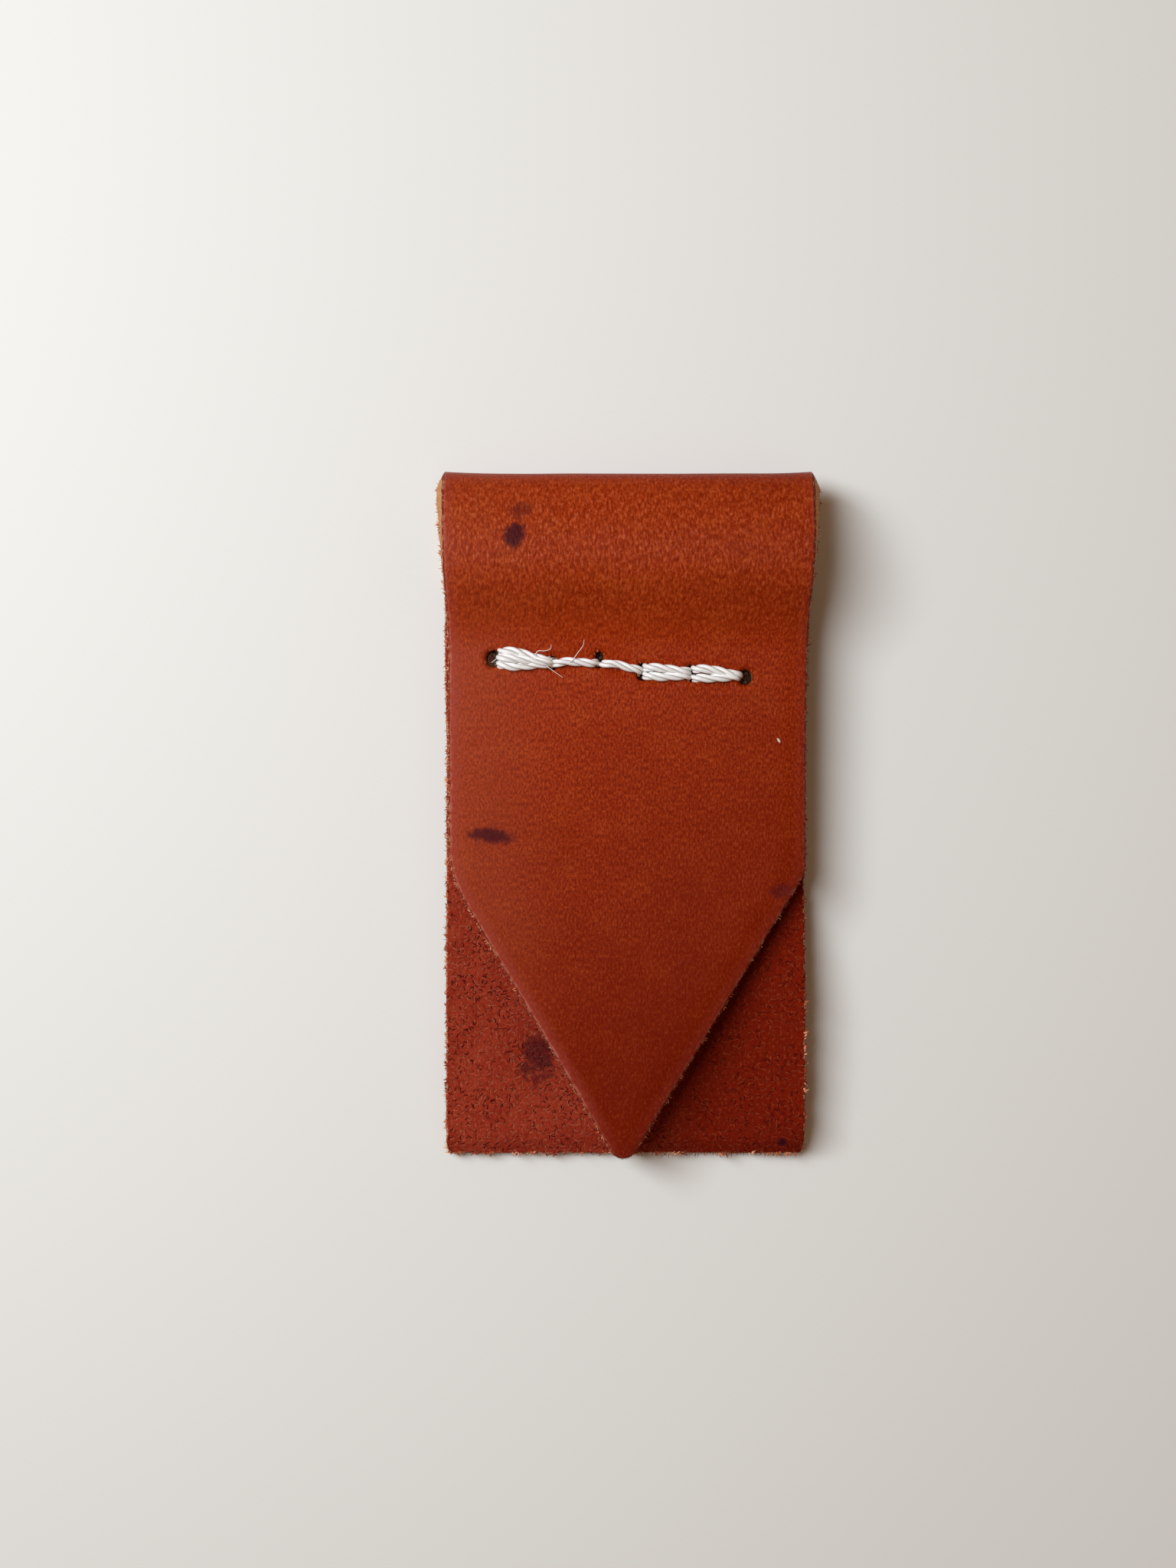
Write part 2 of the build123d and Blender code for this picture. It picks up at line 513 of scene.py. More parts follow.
def mesh_grid(outline, fine):
    """Points spread evenly over the strip, clear of the rows along its edges and bends."""
    rows = np.arange(0, S_END, MESH_STEP * math.sqrt(0.75))
    columns = np.arange(-HALF_WIDTH - 1, HALF_WIDTH + 1, MESH_STEP)
    grid_x, grid_s = np.meshgrid(columns, rows)
    grid_x[1::2] += MESH_STEP / 2
    grid = np.stack([grid_x.ravel(), grid_s.ravel()], 1)
    grid += rng.uniform(-0.02, 0.02, grid.shape)
    keep = inside(grid, outline) & (line_distance(grid, fine) > RINGS[-1] + EDGE_CLEAR)
    for slot in SLOTS_ON_STRIP:
        keep &= slot_distance(grid, slot) > SLOT_RINGS[-1] + SLOT_CLEAR
    for s in (S_FLAP, S_PANEL):
        keep &= np.abs(grid[:, 1] - s) > MESH_STEP / 2
    return grid[keep]


def make_pattern():
    """Triangles of the flat pattern, its points, and the loops along its cut edges."""
    outline = strip_outline()
    outline[:, 0] += outward(outline)[:, 0] * wander(outline[:, 1] + 40 * (outline[:, 0] > 0), 3)
    fine = evenly(np.concatenate([outline, outline[:1]]), STEP)
    fine = tree_of(np.concatenate([outline, fine]))
    rows, constraints, loops = [], [], []

    def add(row):
        """Adds a row of points and gives their numbers."""
        first = sum(map(len, rows))
        rows.append(row)
        return list(range(first, first + len(row)))

    loops.append(add(outline))
    for grow in RINGS:
        ring = outline - outward(outline) * grow
        add(ring[line_distance(ring, fine) > grow * 0.9])
    for slot in SLOTS_ON_STRIP:
        loops.append(add(slot_line(slot, 0, SLOT_STEP)))
        for grow in SLOT_RINGS:
            add(slot_line(slot, grow, SLOT_STEP + grow / 3))
    row_x = np.arange(-HALF_WIDTH + ROW_END, HALF_WIDTH - ROW_END, MESH_STEP)
    for s in (S_FLAP, S_PANEL):
        numbers = add(np.stack([row_x, np.full(len(row_x), s)], 1))
        constraints += zip(numbers, numbers[1:])
    add(mesh_grid(outline, fine))
    for loop in loops:
        constraints += zip(loop, loop[1:] + loop[:1])

    points = [Vector(point) for point in np.concatenate(rows).tolist()]
    result = delaunay_2d_cdt(points, constraints, [], 1, 1e-5)
    flat = np.array([tuple(v) for v in result[0]])
    triangles = np.array([list(f) for f in result[2]])
    origin = {old: new for new, olds in enumerate(result[3]) for old in olds}
    loops = [np.array([origin[k] for k in loop]) for loop in loops]
    middles = flat[triangles].mean(1)
    keep = np.ones(len(triangles), bool)
    for slot in SLOTS_ON_STRIP:
        keep &= slot_distance(middles, slot) > 0
    triangles = triangles[keep]
    a, b, c = (flat[triangles[:, k]] for k in range(3))
    turn = (b - a)[:, 0] * (c - a)[:, 1] - (b - a)[:, 1] * (c - a)[:, 0]
    triangles[turn < 0] = triangles[turn < 0][:, ::-1]
    return flat, triangles, loops, fine


def inside(points, polygon):
    """Which points lie inside a closed polygon."""
    result = np.zeros(len(points), bool)
    x, y = points[:, 0], points[:, 1]
    for (x1, y1), (x2, y2) in zip(polygon, np.roll(polygon, -1, axis=0)):
        crosses = (y1 > y) != (y2 > y)
        if y1 != y2:
            result ^= crosses & (x < (x2 - x1) * (y - y1) / (y2 - y1) + x1)
    return result


# ---- leather, laid on its path

RIM_RADIUS = 0.75  # the grain's cut edge is rubbed round over the first RIM_REACH
RIM_REACH = 0.5
RIM_CRISPNESS = 0.7  # how much smaller both are at the fold
CRISP_REACH = 9.0  # and how far from it the rim is crisper
FLESH_ROUNDING = 0.16
SLOT_ROUNDING = 0.3
SPREAD = 0.66  # how far the flesh side bulges sideways where the strip is bent
SPREAD_REACH = 8.5
EVEN_REACH = 1.5  # from a cut edge, where unevenness sets in and the bulge ends
WAVE_DEPTH = 0.025  # the grain side's slow unevenness
CREASE_DEPTH = 0.05  # small creases at the left edge, by the flap's bend
CREASE_PLACE = (-13.5, -1.0)  # in x, and along the strip from the bend
CREASE_REACH = (3.2, 4.5)
CREASE_STRETCH = 0.35
NAP_DEPTH = 0.05
NAP_REACH = 0.4
SLOPE = 0.2  # how much thinner the strip gets towards its cut edges
SLOPE_REACH = 1.3
LIP = 0.07  # how far the leather is pushed up round a slot
LIP_AT, LIP_REACH = 0.42, 0.22
FLARE = 0.16  # how far the cut edges stand out from the bend
FLARE_REACH = 1.6
PRESS = 0.22  # how deep a stitch presses into the grain
PRESS_REACH = 0.75
EDGE_LIFT = 1.8  # how far the back panel's right edge curls up
CURL_FROM = 7.0  # in x; the curl gets steeper from here to the edge
CURL_START = (s_on_back(-4.0), s_on_back(-16.0))
CURL_END = (s_on_back(-25.0), S_END + 0.8)
END_WEAR = 0.5  # how much thinner the back panel is at its square end
END_REACH = 0.8
WALL_ROWS = 3  # rows of points on a cut wall, between the two sides
WALL_BULGE = 0.05
WALL_ROUGHNESS = 0.05
SLOT_ROUGHNESS = 0.02
AWAY = 9.0  # from_edge of what isn't near the strip's cut edge


def fading(distance, reach):
    """1 at no distance, falling smoothly to nothing over about twice the reach."""
    return np.exp(-((distance / reach) ** 2))


def rounding(distance, radius, reach):
    """Drop of an edge at a distance from it, rounded over the first reach."""
    inset = np.clip(reach - distance, 0, radius)
    return radius - np.sqrt(np.maximum(radius**2 - inset**2, 0))


def fields(points, scale, seed, octaves=1):
    """Smooth noise at pattern points, about -1 to 1."""
    total = np.zeros(len(points))
    for octave in range(octaves):
        scaled = (points * (2**octave / scale)).tolist()
        total += np.array([noise.noise((x, s, seed + octave)) for x, s in scaled]) / 2**octave
    return total


def stitch_press(points):
    """How hard the stitches press on the leather at pattern points, 0 to 1."""
    press = np.zeros(len(points))
    for first in (0, 6):
        centres = [slot[0] for slot in SLOTS_ON_STRIP[first : first + 6]]
        for start, end in zip(centres, centres[1:]):
            run = end - start
            share = np.clip(((points - start) @ run) / run.dot(run), 0, 1)
            gap = np.linalg.norm(points - start - share[:, None] * run, axis=1)
            press = np.maximum(press, fading(gap, PRESS_REACH))
    return press


def eased(values, low, high):
    """0 below low, 1 above high and a smooth step between them."""
    share = np.clip((values - low) / (high - low), 0, 1)
    return share * share * (3 - 2 * share)


def lay(flat, depth):
    """Places pattern points on the path, a depth in from the grain side."""
    x, s = flat[:, 0], flat[:, 1]
    y, z = (np.interp(s, PATH_S, path[:, k]) for k in (0, 1))
    ahead_y, ahead_z = (np.interp(s, PATH_S, heading[:, k]) for k in (0, 1))
    length = np.hypot(ahead_y, ahead_z)
    bent = np.maximum(x - CURL_FROM, 0) / (HALF_WIDTH - CURL_FROM)
    curl = EDGE_LIFT * bent**2 * eased(s, *CURL_START) * (1 - eased(s, *CURL_END))
    return np.stack([x, y + ahead_z / length * depth, z - ahead_y / length * depth + curl], 1)


def make_leather():
    """The whole strip and its loose fibres.

    The strip is its vertices, its faces as triangles and as the quads of the cut walls, and
    for each vertex its place on the pattern, its layer from the grain (0) to the flesh (1)
    and its distance from the cut edge.
    """
    flat, triangles, loops, fine = make_pattern()
    from_edge = line_distance(flat, fine)
    from_slot = np.min([slot_distance(flat, slot) for slot in SLOTS_ON_STRIP], axis=0)
    from_slot = np.maximum(from_slot, 0)
    bend = fading(flat[:, 1] - S_APEX, SPREAD_REACH)
    ease = np.clip(from_edge / EVEN_REACH, 0, 1)
    flare = FLARE * bend * np.exp(-from_edge / FLARE_REACH)

    wave = WAVE_DEPTH * fields(flat, 6.0, 11, 2)
    from_crease = flat - (0, S_FLAP) - CREASE_PLACE
    crease_zone = fading(from_crease, CREASE_REACH).prod(1)
    creases = CREASE_DEPTH * crease_zone * fields(flat * (CREASE_STRETCH, 1), 0.9, 23)
    crisp = 1 - RIM_CRISPNESS * fading(flat[:, 1] - S_APEX, CRISP_REACH)
    grain_depth = rounding(from_edge, RIM_RADIUS * crisp, RIM_REACH * crisp)
    grain_depth = np.maximum(grain_depth, rounding(from_slot, SLOT_ROUNDING, SLOT_ROUNDING))
    grain_depth += PRESS * stitch_press(flat) * np.clip(from_edge, 0, 1)
    grain_depth += SLOPE * (1 - bend) * fading(from_edge, SLOPE_REACH)
    grain_depth -= LIP * fading(from_slot - LIP_AT, LIP_REACH)
    grain_depth += (creases - wave) * ease
    grain = lay(flat, grain_depth - flare)

    nap = NAP_DEPTH * fields(flat, 0.8, 31, 2) * np.clip(from_edge / NAP_REACH, 0, 1)
    flesh_depth = LEATHER - rounding(from_edge, FLESH_ROUNDING, FLESH_ROUNDING) + nap
    flesh_depth -= END_WEAR * fading(S_END - flat[:, 1], END_REACH)
    seam = (flat[:, 1] > S_FLAP) & (flat[:, 1] < S_PANEL)
    flesh_depth = np.where(seam, np.minimum(flesh_depth, LEATHER), flesh_depth)
    flesh = lay(flat, flesh_depth - flare)
    flesh[:, 0] += np.sign(flat[:, 0]) * SPREAD * bend * (1 - ease)

    count = len(flat)
    vertices = [grain, flesh]
    pattern = [flat, flat]
    layer = [np.zeros(count), np.ones(count)]
    edge = [from_edge, from_edge]
    walls = []
    total = 2 * count
    for loop in loops:
        outer = loop is loops[0]
        rim = flat[loop]
        outwards = unit(lay(rim + outward(rim) * 0.01, 0) - lay(rim, 0))
        rows = [loop]
        for row in range(1, WALL_ROWS + 1):
            share = row / (WALL_ROWS + 1)
            stray = WALL_ROUGHNESS if outer else SLOT_ROUGHNESS
            stray = stray * fields(rim + 9 * row, 0.5, 40 + row)
            if outer:
                stray += WALL_BULGE * math.sin(share * math.pi)
            place = grain[loop] * (1 - share) + flesh[loop] * share
            vertices.append(place + outwards * stray[:, None])
            pattern.append(rim)
            layer.append(np.full(len(loop), share))
            edge.append(np.full(len(loop), 0 if outer else AWAY))
            rows.append(np.arange(total, total + len(loop)))
            total += len(loop)
        rows.append(loop + count)
        for upper, lower in zip(rows, rows[1:]):
            quads = np.stack([upper, np.roll(upper, -1), np.roll(lower, -1), lower], 1)
            walls.append(quads if outer else quads[:, ::-1])
    groups = (np.concatenate([triangles[:, ::-1], triangles + count]), np.concatenate(walls))
    vertices, pattern, layer, edge = map(np.concatenate, (vertices, pattern, layer, edge))
    return (vertices, groups, pattern, layer, edge), make_hairs(flat[loops[0]])


def vertex_normals(vertices, groups):
    """Area-weighted normals of a mesh, from its arrays of triangles and of quads."""
    normals = np.zeros_like(vertices)
    for group in groups:
        a, b, c, d = (vertices[group[:, k]] for k in (0, 1, 2, -1))
        turned = np.cross(b - a, c - a) + np.cross(c - a, d - a)
        for column in group.T:
            for axis in range(3):
                normals[:, axis] += np.bincount(column, turned[:, axis], len(vertices))
    return unit(normals)


def unit(vectors):
    return vectors / np.maximum(np.linalg.norm(vectors, axis=1), 1e-12)[:, None]


HAIR_QUADS = np.array([[0, 1, 4, 3], [1, 2, 5, 4], [2, 0, 3, 5]])
HAIR_TRIANGLES = np.array([[2, 1, 0], [3, 4, 6], [4, 5, 6], [5, 3, 6]])


def hairs(roots, directions, lengths, radius, lean):
    """Closed tapering hairs of seven points, each bent half way and leaning sideways."""
    directions = unit(directions)
    side = unit(np.cross(directions, rng.normal(size=roots.shape)))
    other = np.cross(directions, side)
    angles = 2 * math.pi * np.arange(3) / 3
    ring = side[:, None] * np.cos(angles)[:, None] + other[:, None] * np.sin(angles)[:, None]
    bend = roots + directions * lengths[:, None] * 0.5
    tip = roots + (directions * 0.85 + side * lean) * lengths[:, None]
    return np.concatenate(
        [roots[:, None] + ring * radius, bend[:, None] + ring * radius * 0.8, tip[:, None]], 1
    )


def on_surface(flat, layer):
    """Places on the grain (layer 0) to the flesh (1), with three directions of the strip.

    The directions are across the strip, along it and out of the grain side.
    """
    place = lay(flat, layer * LEATHER)
    grain_way = unit(lay(flat, layer * LEATHER - 0.1) - place)
    ahead = unit(lay(flat + [0, 0.05], layer * LEATHER) - place)
    return place, np.cross(ahead, grain_way), ahead, grain_way


# Loose fibres: how many of each kind
EDGE_HAIRS = 2300
TUFTS = 400
TUFT_HAIRS = 5
NAP_PER_AREA = 2.4
SLOT_HAIRS = 9
STITCH_HAIRS = 12
NAP_CLEAR = 9.0  # the flesh sides lie on each other along this length of each ply
SEAM_Y = 12.0
NAP_INSET = 0.985  # the nap's outline is this much narrower than the strip
NAP_LAYER = 0.99  # its roots lie just inside the flesh side


def sprout(flat, layer, flat_way, rise, lengths, radius, lean, spread=SPREAD):
    """Hairs rooted at pattern points, heading a flat way on the strip and out of its grain.

    Where the strip is bent, their roots move sideways with its spread.
    """
    place, across, ahead, grain_way = on_surface(flat, layer)
    place[:, 0] += np.sign(flat[:, 0]) * spread * fading(flat[:, 1] - S_APEX, SPREAD_REACH) * layer
    way = across * flat_way[:, :1] + ahead * flat_way[:, 1:] + grain_way * rise
    return hairs(place, way, lengths, radius, lean)


def make_hairs(outline):
    """Loose fibres of the leather: points, roots on the pattern, and shade from red to cream."""
    out = outward(outline)
    pick = rng.integers(0, len(outline), EDGE_HAIRS)
    layer = rng.uniform(0.25, 1.0, EDGE_HAIRS)
    root = outline[pick] - out[pick] * 0.03
    stray = rng.normal(0, 0.55, (EDGE_HAIRS, 3))
    lengths = rng.uniform(0.1, 0.26, EDGE_HAIRS) + 0.3 * rng.random(EDGE_HAIRS) ** 5
    way = out[pick] + stray[:, :2]
    made = sprout(root, layer, way, stray[:, 2:] * 0.5, lengths, 0.028, 0.35)
    sets = [(made, root, rng.random(EDGE_HAIRS))]

    # Tufts that lie along the cut edge
    pick = np.repeat(rng.integers(0, len(outline), TUFTS), TUFT_HAIRS)
    pick = (pick + rng.integers(-1, 2, len(pick))) % len(outline)
    layer = np.repeat(rng.uniform(0.5, 1.0, TUFTS), TUFT_HAIRS)
    out = out[pick]
    root = outline[pick] - out * rng.uniform(0.0, 0.12, (len(pick), 1))
    along = np.stack([-out[:, 1], out[:, 0]], 1)
    along = along * np.repeat(rng.choice([-1.0, 1.0], (TUFTS, 1)), TUFT_HAIRS, axis=0)
    way = along * rng.uniform(0.1, 1.0, (len(pick), 1))
    way += out * rng.normal(0.3, 0.4, (len(pick), 1))
    rise = -rng.uniform(-0.1, 0.4, (len(pick), 1))
    lengths = rng.uniform(0.22, 0.55, len(pick))
    pale = np.repeat(rng.uniform(0.5, 1.0, TUFTS), TUFT_HAIRS)
    sets.append((sprout(root, layer, way, rise, lengths, 0.062, 0.25), root, pale))

    # The nap of the flesh side
    count = int(NAP_PER_AREA * 2 * HALF_WIDTH * S_END)
    root = np.stack([rng.uniform(-HALF_WIDTH, HALF_WIDTH, count), rng.uniform(0, S_END, count)], 1)
    keep = inside(root, outline * [NAP_INSET, 1])
    for s in (s_on_front(SEAM_Y), s_on_back(SEAM_Y)):
        keep &= np.abs(root[:, 1] - s) > NAP_CLEAR / 2
    root = root[keep]
    way = rng.normal(0, 1, (len(root), 2))
    lengths = rng.uniform(0.18, 0.42, len(root))
    made = sprout(root, NAP_LAYER, way, -0.22, lengths, 0.016, 0.5, spread=0)
    sets.append((made, root, rng.random(len(root)) * 0.55))

    # Round the slots
    for centre, width, length in SLOTS_ON_STRIP:
        line = slot_line((centre, width, length), 0.02, 0.1)
        root = line[rng.integers(0, len(line), SLOT_HAIRS)]
        rise = rng.uniform(-0.1, 0.5, (SLOT_HAIRS, 1))
        lengths = rng.uniform(0.15, 0.32, SLOT_HAIRS)
        made = sprout(root, 0, unit(root - centre), rise, lengths, 0.02, 0.3)
        sets.append((made, root, rng.uniform(0.45, 1, SLOT_HAIRS)))

    # Beside the last three stitches of each side
    for first in (2, 3, 4, 8, 9, 10):
        start, end = SLOTS_ON_STRIP[first][0], SLOTS_ON_STRIP[first + 1][0]
        run = (end - start) / np.linalg.norm(end - start)
        square = np.array([-run[1], run[0]])
        share = rng.uniform(0.05, 0.95, (STITCH_HAIRS, 1))
        side = rng.choice([-1.0, 1.0], (STITCH_HAIRS, 1), p=[0.6, 0.4])
        root = start + (end - start) * share + square * side * STITCH_HALF[first % 6]
        way = square * side + rng.normal(0, 0.35, (STITCH_HAIRS, 2))
        lengths = rng.uniform(0.12, 0.36, STITCH_HAIRS)
        made = sprout(root, 0, way, 0.25, lengths, 0.022, 0.3)
        sets.append((made, root, rng.uniform(0.4, 1, STITCH_HAIRS)))
    return [np.concatenate(column) for column in zip(*sets)]


def mesh_object(name, vertices, faces, materials, attributes=None, kinds=None, normals=None):
    """A smooth-shaded object from millimetre vertices, with point attributes."""
    mesh = bpy.data.meshes.new(name)
    mesh.from_pydata((np.asarray(vertices) * MM).tolist(), [], faces)
    for material in materials:
        mesh.materials.append(material)
    if kinds is not None:
        mesh.polygons.foreach_set("material_index", kinds.astype(np.int32))
    mesh.polygons.foreach_set("use_smooth", np.ones(len(mesh.polygons), bool))
    for key, values in (attributes or {}).items():
        kind, field = ("FLOAT", "value") if values.ndim == 1 else ("FLOAT_VECTOR", "vector")
        data = mesh.attributes.new(key, kind, "POINT").data
        data.foreach_set(field, values.astype(np.float32).ravel())
    mesh.update()
    if normals is not None:
        mesh.normals_split_custom_set_from_vertices([tuple(n) for n in normals.tolist()])
    holder = bpy.data.objects.new(name, mesh)
    bpy.context.collection.objects.link(holder)
    return holder


def cut_strip(leather, fibres, materials):
    """Divides the strip at its two bends into pieces whose borders match."""
    vertices, groups, pattern, layer, edge = leather
    hair_points, hair_roots, hair_shades = fibres
    hair_size = hair_points.shape[1]
    normals = vertex_normals(vertices, groups)
    bounds = {
        "front_flap_leather": (-math.inf, S_FLAP),
        "fold_loop_leather": (S_FLAP, S_PANEL),
        "back_panel_leather": (S_PANEL, math.inf),
    }
    result = {}
    for name, (start, end) in bounds.items():
        own = []
        for group in groups:
            middle = pattern[group, 1].mean(1)
            own.append(group[(middle > start) & (middle <= end)])
        used, renumbered = np.unique(np.concatenate([g.ravel() for g in own]), return_inverse=True)
        skin = renumbered[: own[0].size].reshape(-1, 3)
        wall = renumbered[own[0].size :].reshape(-1, 4)
        on_flesh = layer[own[0]].mean(1).astype(int)

        chosen = (hair_roots[:, 1] > start) & (hair_roots[:, 1] <= end)
        roots = hair_roots[chosen]
        points = hair_points[chosen].reshape(-1, 3)
        first = hair_size * np.arange(len(roots))[:, None, None]
        caps = (first + HAIR_TRIANGLES).reshape(-1, 3)
        sides = (first + HAIR_QUADS).reshape(-1, 4)
        groups_of_faces = (skin, wall, caps + len(used), sides + len(used))
        on_strip = np.concatenate([pattern[used], layer[used, None]], 1)
        hairs_on_strip = np.concatenate([roots, np.ones((len(roots), 1))], 1)
        shades = np.repeat(hair_shades[chosen], hair_size)
        result[name] = mesh_object(
            name,
            np.concatenate([vertices[used], points]),
            [face for group in groups_of_faces for face in group.tolist()],
            materials,
            {
                "from_edge": np.concatenate([edge[used], np.full(len(points), AWAY)]),
                "shade": np.concatenate([np.zeros(len(used)), shades]),
                "strip": np.concatenate([on_strip, np.repeat(hairs_on_strip, hair_size, 0)]),
            },
            np.concatenate([on_flesh, np.full(len(wall), 2), np.full(len(caps) + len(sides), 3)]),
            np.concatenate([normals[used], vertex_normals(points, (caps, sides))]),
        )
    return result


# ---- thread

PLY_RADIUS = 0.218
PLY_ORBIT = 0.205
PLY_WOBBLE = 0.06  # how unevenly thick the plies are
TWIST = 3.9  # length of one full turn of the three plies
PLY_SIDES = 12
THREAD_STEP = 0.11
SPLINE_STEPS = 8


def swept(centres, frames, radius_x, radius_y, sides):
    """Vertices and quads of a tube round a line, with its own width and height."""
    angles = np.linspace(0, 2 * math.pi, sides, endpoint=False)
    first, second = frames
    rings = (
        centres[:, None, :]
        + first[:, None, :] * (radius_x[:, None] * np.cos(angles))[:, :, None]
        + second[:, None, :] * (radius_y[:, None] * np.sin(angles))[:, :, None]
    )
    last = (len(centres) - 1) * sides
    ring = np.arange(sides)
    around = np.stack([ring, np.roll(ring, -1), np.roll(ring, -1) + sides, ring + sides], 1)
    faces = (np.arange(0, last, sides)[:, None, None] + around).reshape(-1, 4).tolist()
    return rings.reshape(-1, 3), [*faces, ring[::-1].tolist(), (ring + last).tolist()]


def joined(parts):
    """One mesh from several, each as its vertices, faces and fibre coordinates."""
    vertices, faces, fibre = [], [], []
    for part, own, coordinates in parts:
        base = sum(map(len, vertices))
        vertices.append(part)
        faces += [[k + base for k in face] for face in own]
        fibre.append(coordinates)
    return np.concatenate(vertices), faces, np.concatenate(fibre)


def frames_along(line):
    """Two unit vectors square to a line, the second as near up as it can be."""
    along = unit(np.gradient(line, axis=0))
    sideways = np.zeros_like(line)
    previous = None
    for k, direction in enumerate(along):
        if previous is None:
            guess = np.cross((0, 0, 1.0), direction)
            if np.linalg.norm(guess) < 0.3:
                guess = np.cross((0, 1.0, 0), direction)
        else:
            guess = previous - direction * previous.dot(direction)
        previous = guess / np.linalg.norm(guess)
        sideways[k] = previous
    return sideways, np.cross(along, sideways)


def spline(points):
    """A smooth curve through points (Catmull-Rom)."""
    points = np.array(points, float)
    ends = np.concatenate([[2 * points[0] - points[1]], points, [2 * points[-1] - points[-2]]])
    result = []
    for p0, p1, p2, p3 in zip(ends, ends[1:], ends[2:], ends[3:]):
        square, cube = 2 * p0 - 5 * p1 + 4 * p2 - p3, 3 * p1 - p0 - 3 * p2 + p3
        for t in np.linspace(0, 1, SPLINE_STEPS, endpoint=False):
            result.append((2 * p1 + (p2 - p0) * t + square * t**2 + cube * t**3) / 2)
    return np.array([*result, points[-1]])


def strand(line, phase, thickness, flatten=0.9):
    """Three twisted plies along a line: vertices, faces and fibre coordinates."""
    line = evenly(line, THREAD_STEP)
    sideways, up = frames_along(line)
    along = np.arange(len(line)) * THREAD_STEP
    plies = []
    for ply in range(3):
        angle = phase + 2 * math.pi * (ply / 3 + along / TWIST)
        bumps = np.array([noise.noise(Vector((a * 0.8, ply, phase))) for a in along])
        wobble = 1 + PLY_WOBBLE * bumps
        orbit = PLY_ORBIT * thickness * wobble
        centre = (
            line
            + sideways * (orbit * np.cos(angle))[:, None]
            + up * (orbit * np.sin(angle))[:, None] * flatten
        )
        radius = PLY_RADIUS * thickness * wobble
        around = np.tile(np.arange(PLY_SIDES) / PLY_SIDES, len(line))
        outer = around * 2 * math.pi - np.repeat(angle, PLY_SIDES)
        # painted shade where a ply turns inwards, between the plies
        groove_shade = eased(-np.cos(outer), -0.1, 0.7)
        lengthwise = np.repeat(along, PLY_SIDES) + 40 * ply + 7 * phase
        tube = swept(centre, (sideways, up), radius, radius * flatten, PLY_SIDES)
        plies.append((*tube, np.stack([lengthwise, around, groove_shade], 1)))
    return joined(plies)


def thread_piece(name, strands, material):
    """One object of several twisted strands, with painted shade where it lies in the leather."""
    vertices, faces, fibre = joined(strands)
    inside_leather = np.minimum(SEAM_TOP - vertices[:, 2], vertices[:, 2] - SEAM_BOTTOM)
    # painted shade on the thread where it lies inside the leather
    fibre[:, 2] = np.maximum(fibre[:, 2], eased(inside_leather, 0.15, 0.6))
    piece = mesh_object(f"{name}_strands", vertices, faces, [material], {"fibre": fibre})
    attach(piece, "loop")
    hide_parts(name)


# Each strand of a stitch: how far to the left of the row, looking towards +X, it leaves
# its slot, lies at its widest and goes down, and how much higher than the others it lies
FRONT_STRANDS = [
    [(0.54, 0.62, 0.15, 0.0), (0.0, 0.03, 0.02, 0.24), (-0.52, -0.6, -0.14, 0.0)],
    [(-0.05, 0.0, -0.3, 0.05)],
    [(-0.3, -0.02, 0.05, 0.05)],
    [(0.4, 0.36, 0.14, 0.03), (-0.28, -0.37, -0.24, 0.0)],
    [(0.38, 0.38, 0.06, 0.0), (-0.38, -0.36, -0.1, 0.0)],
]
FRONT_THICKNESS = [1.0, 0.95, 0.93, 0.98, 0.97]
BACK_STRANDS = [
    [(0.4, 0.35, 0.1, 0.0), (-0.4, -0.35, -0.1, 0.0)],
    [(0.0, 0.1, 0.0, 0.0)],
    [(0.0, -0.1, 0.0, 0.0)],
    [(0.3, 0.38, 0.3, 0.0), (-0.3, -0.38, -0.3, 0.0)],
    [(0.4, 0.38, 0.3, 0.0), (-0.4, -0.38, -0.3, 0.0)],
]
SIT = 0.16  # how far a stitch's middle lies above the leather that it presses in
# How far inside its two slots' middles each front stitch comes up and goes down
TURN_INS = [(0.5, 0.25), (0.3, 0.3), (0.5, 0.3), (0.35, 0.3), (0.4, 0.5)]
PHASES = [0.4, 2.0, 1.2, 0.1, 2.6]


def stitch_line(start, end, turn_in, bow, surface, side):
    """The line of one strand from slot to slot, on the front (1) or the back (-1)."""
    run = (end - start)[:2]
    length = np.linalg.norm(run)
    run /= length
    across = np.array([-run[1], run[0]])
    leave, widest, arrive, rise = bow
    rising, falling = turn_in
    height = SIT + rise

    def at(along, sideways, z):
        place = start[:2] + run * along + across * sideways
        return (*place, surface + side * z)

    return spline(
        [
            at(rising + 0.1, leave * 0.8, -1.4),
            at(rising, leave, -0.6),
            at(rising - 0.08, leave, height - 0.3),
            at(rising + 0.22, leave * 0.7 + widest * 0.3, height + 0.02),
            at(length * 0.34, widest, height + 0.06),
            at(length * 0.62, widest * 0.45 + arrive * 0.55, height + 0.02),
            at(length - falling - 0.32, arrive, height - 0.03),
            at(length - falling, arrive, height - 0.32),
            at(length - falling, arrive, -0.6),
            at(length - falling - 0.1, arrive, -1.4),
        ]
    )


FILAMENT_RADIUS = 0.035
FILAMENT_END = 0.45  # of the radius
FILAMENT_STEP = 0.08
FILAMENT_SIDES = 5
